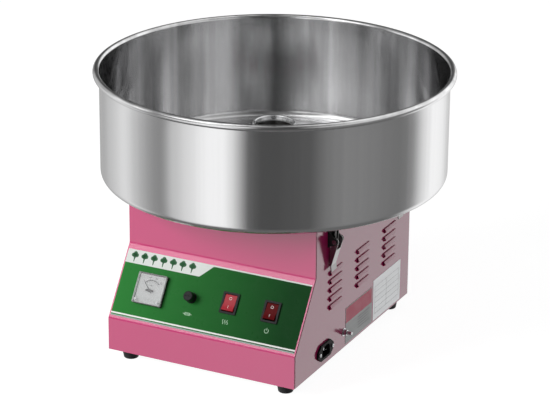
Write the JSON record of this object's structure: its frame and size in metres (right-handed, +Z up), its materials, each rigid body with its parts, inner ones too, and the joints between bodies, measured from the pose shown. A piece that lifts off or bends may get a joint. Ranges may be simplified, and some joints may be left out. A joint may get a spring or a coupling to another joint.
{
  "type": "cotton candy machine",
  "caption": "Tabletop cotton candy machine: round steel bowl with a spinner head, on a sheet metal casing with a sloped control panel.",
  "frame": {"origin": "on the bowl's vertical axis, at the level of the feet", "axes": "+Z up along the spinner's axis; the control panel faces -Y; the mains inlet is on the +X side"},
  "size_m": [0.52, 0.52, 0.3984],
  "materials": {
    "pink_paint": "gloss powder coat",
    "stainless": "spun and polished stainless steel",
    "steel_plate": "zinc plated sheet steel",
    "black_rubber": "moulded",
    "panel_print": "printed overlay, green with light bands",
    "label_silver": "printed foil, blank",
    "label_notice": "printed foil, blank with a coloured band",
    "black_plastic": "moulded",
    "red_plastic": "translucent red",
    "dial_white": "printed card with a scale",
    "clear_plastic": "clear moulded",
    "needle_black": "matt",
    "chrome": "plated",
    "blackened": "blackened steel",
    "zinc": "zinc plated",
    "copper": "turned copper",
    "aluminium": "turned",
    "bakelite": "pressed",
    "carbon": "pressed",
    "lamination": "varnished laminations",
    "element_sheath": "heat-tinted",
    "fuse_glass": "clear"
  },
  "bodies": {
    "casing": {"base_tray": "steel_plate", "front_cover": "pink_paint", "left_side_panel": "pink_paint", "right_side_panel": "pink_paint", "rear_panel": "pink_paint", "top_plate": "pink_paint", "control_decal": "panel_print", "rubber_feet": "black_rubber", "pan_head_screws": "zinc", "notice_plate": "label_notice", "rating_plate": "label_silver", "bowl": "stainless", "bowl_strikes": "stainless", "latch_bases": "blackened", "latch_pins": "chrome", "voltmeter_case": "black_plastic", "voltmeter_dial": "dial_white", "voltmeter_lens": "clear_plastic", "small_screws": "zinc", "fuse_holder": "black_plastic", "heat_switch_body": "black_plastic", "power_switch_body": "black_plastic", "power_inlet": "black_plastic", "inlet_pins": "zinc", "earth_stud": "zinc", "earth_washers": "zinc", "motor_mount_plate": "steel_plate", "mount_standoffs": "zinc", "motor_stator": "lamination", "motor_end_bells": "aluminium", "motor_bearings": "zinc", "brush_holder": "bakelite", "inner_brush_spring": "zinc", "outer_brush_spring": "zinc"},
    "rotor": {"motor_shaft": "zinc", "motor_rotor": "lamination", "slip_ring_disc": "bakelite", "slip_rings": "copper", "spinner_base": "aluminium", "heating_element": "element_sheath", "heater_band": "stainless", "spinner_cap": "aluminium", "cap_screws": "zinc", "head_nut": "zinc"},
    "heat_rocker": {"heat_rocker": "red_plastic"},
    "power_rocker": {"power_rocker": "red_plastic"},
    "meter_needle": {"voltmeter_needle": "needle_black"},
    "fuse_carrier": {"fuse_link": "fuse_glass"},
    "fuse_cap": {"fuse_cap": "black_plastic"},
    "earth_nut": {"earth_nut": "zinc"},
    "inner_brush": {"inner_brush": "carbon"},
    "outer_brush": {"outer_brush": "carbon"},
    "lever_front_right": {"latch_lever_front_right": "chrome"},
    "bail_front_right": {"latch_bail_front_right": "chrome"},
    "lever_front_left": {"latch_lever_front_left": "chrome"},
    "bail_front_left": {"latch_bail_front_left": "chrome"},
    "lever_rear_right": {"latch_lever_rear_right": "chrome"},
    "bail_rear_right": {"latch_bail_rear_right": "chrome"},
    "lever_rear_left": {"latch_lever_rear_left": "chrome"},
    "bail_rear_left": {"latch_bail_rear_left": "chrome"}
  },
  "joints": [
    {"name": "rotor_spin", "type": "hinge", "parent": "casing", "child": "rotor", "pos_m": [0, 0, 0.19], "axis": [0, 0, 1], "continuous": true},
    {"name": "heat_rocker_tilt", "type": "hinge", "parent": "casing", "child": "heat_rocker", "pos_m": [0.0315, -0.1956, 0.10993], "axis": [1, 0, 0], "range_deg": [0, 20]},
    {"name": "power_rocker_tilt", "type": "hinge", "parent": "casing", "child": "power_rocker", "pos_m": [0.0965, -0.1956, 0.10993], "axis": [1, 0, 0], "range_deg": [0, 20]},
    {"name": "needle_swing", "type": "hinge", "parent": "casing", "child": "meter_needle", "pos_m": [-0.0929, -0.20007, 0.1051], "axis": [0, 0.8286, -0.5598], "range_deg": [0, 90], "stiffness_Nm_per_rad": 0.00004, "springref_deg": -17.19},
    {"name": "fuse_pull", "type": "slide", "parent": "casing", "child": "fuse_carrier", "axis": [0, -0.8286, 0.5598], "range_m": [0, 0.03]},
    {"name": "fuse_cap_turn", "type": "hinge", "parent": "fuse_carrier", "child": "fuse_cap", "pos_m": [-0.0284, -0.19839, 0.10759], "axis": [0, -0.8286, 0.5598], "range_deg": [0, 90]},
    {"name": "earth_nut_turn", "type": "hinge", "parent": "casing", "child": "earth_nut", "pos_m": [0.152, -0.069, 0.041], "axis": [1, 0, 0], "continuous": true},
    {"name": "inner_brush_slide", "type": "slide", "parent": "casing", "child": "inner_brush", "axis": [0, 0, -1], "range_m": [0, 0.0045], "stiffness_N_per_m": 150, "springref_m": -0.01, "deforming": ["inner_brush_spring"]},
    {"name": "outer_brush_slide", "type": "slide", "parent": "casing", "child": "outer_brush", "axis": [0, 0, -1], "range_m": [0, 0.0045], "stiffness_N_per_m": 150, "springref_m": -0.01, "deforming": ["outer_brush_spring"]},
    {"name": "lever_front_right_open", "type": "hinge", "parent": "casing", "child": "lever_front_right", "pos_m": [0.1585, -0.117, 0.202], "axis": [0, -1, 0], "range_deg": [0, 120]},
    {"name": "bail_front_right_lift", "type": "hinge", "parent": "lever_front_right", "child": "bail_front_right", "pos_m": [0.15707, -0.117, 0.193], "axis": [0, -1, 0], "range_deg": [-96, 0]},
    {"name": "lever_front_left_open", "type": "hinge", "parent": "casing", "child": "lever_front_left", "pos_m": [-0.1585, -0.117, 0.202], "axis": [0, 1, 0], "range_deg": [0, 120]},
    {"name": "bail_front_left_lift", "type": "hinge", "parent": "lever_front_left", "child": "bail_front_left", "pos_m": [-0.15707, -0.117, 0.193], "axis": [0, 1, 0], "range_deg": [-96, 0]},
    {"name": "lever_rear_right_open", "type": "hinge", "parent": "casing", "child": "lever_rear_right", "pos_m": [0.1585, 0.111, 0.202], "axis": [0, -1, 0], "range_deg": [0, 120]},
    {"name": "bail_rear_right_lift", "type": "hinge", "parent": "lever_rear_right", "child": "bail_rear_right", "pos_m": [0.15707, 0.111, 0.193], "axis": [0, -1, 0], "range_deg": [-96, 0]},
    {"name": "lever_rear_left_open", "type": "hinge", "parent": "casing", "child": "lever_rear_left", "pos_m": [-0.1585, 0.111, 0.202], "axis": [0, 1, 0], "range_deg": [0, 120]},
    {"name": "bail_rear_left_lift", "type": "hinge", "parent": "lever_rear_left", "child": "bail_rear_left", "pos_m": [-0.15707, 0.111, 0.193], "axis": [0, 1, 0], "range_deg": [-96, 0]}
  ],
  "couplings": [
    {"joint": "bail_front_right_lift", "follows": "lever_front_right_open", "ratio": -0.795},
    {"joint": "bail_front_left_lift", "follows": "lever_front_left_open", "ratio": -0.795},
    {"joint": "bail_rear_right_lift", "follows": "lever_rear_right_open", "ratio": -0.795},
    {"joint": "bail_rear_left_lift", "follows": "lever_rear_left_open", "ratio": -0.795}
  ]
}
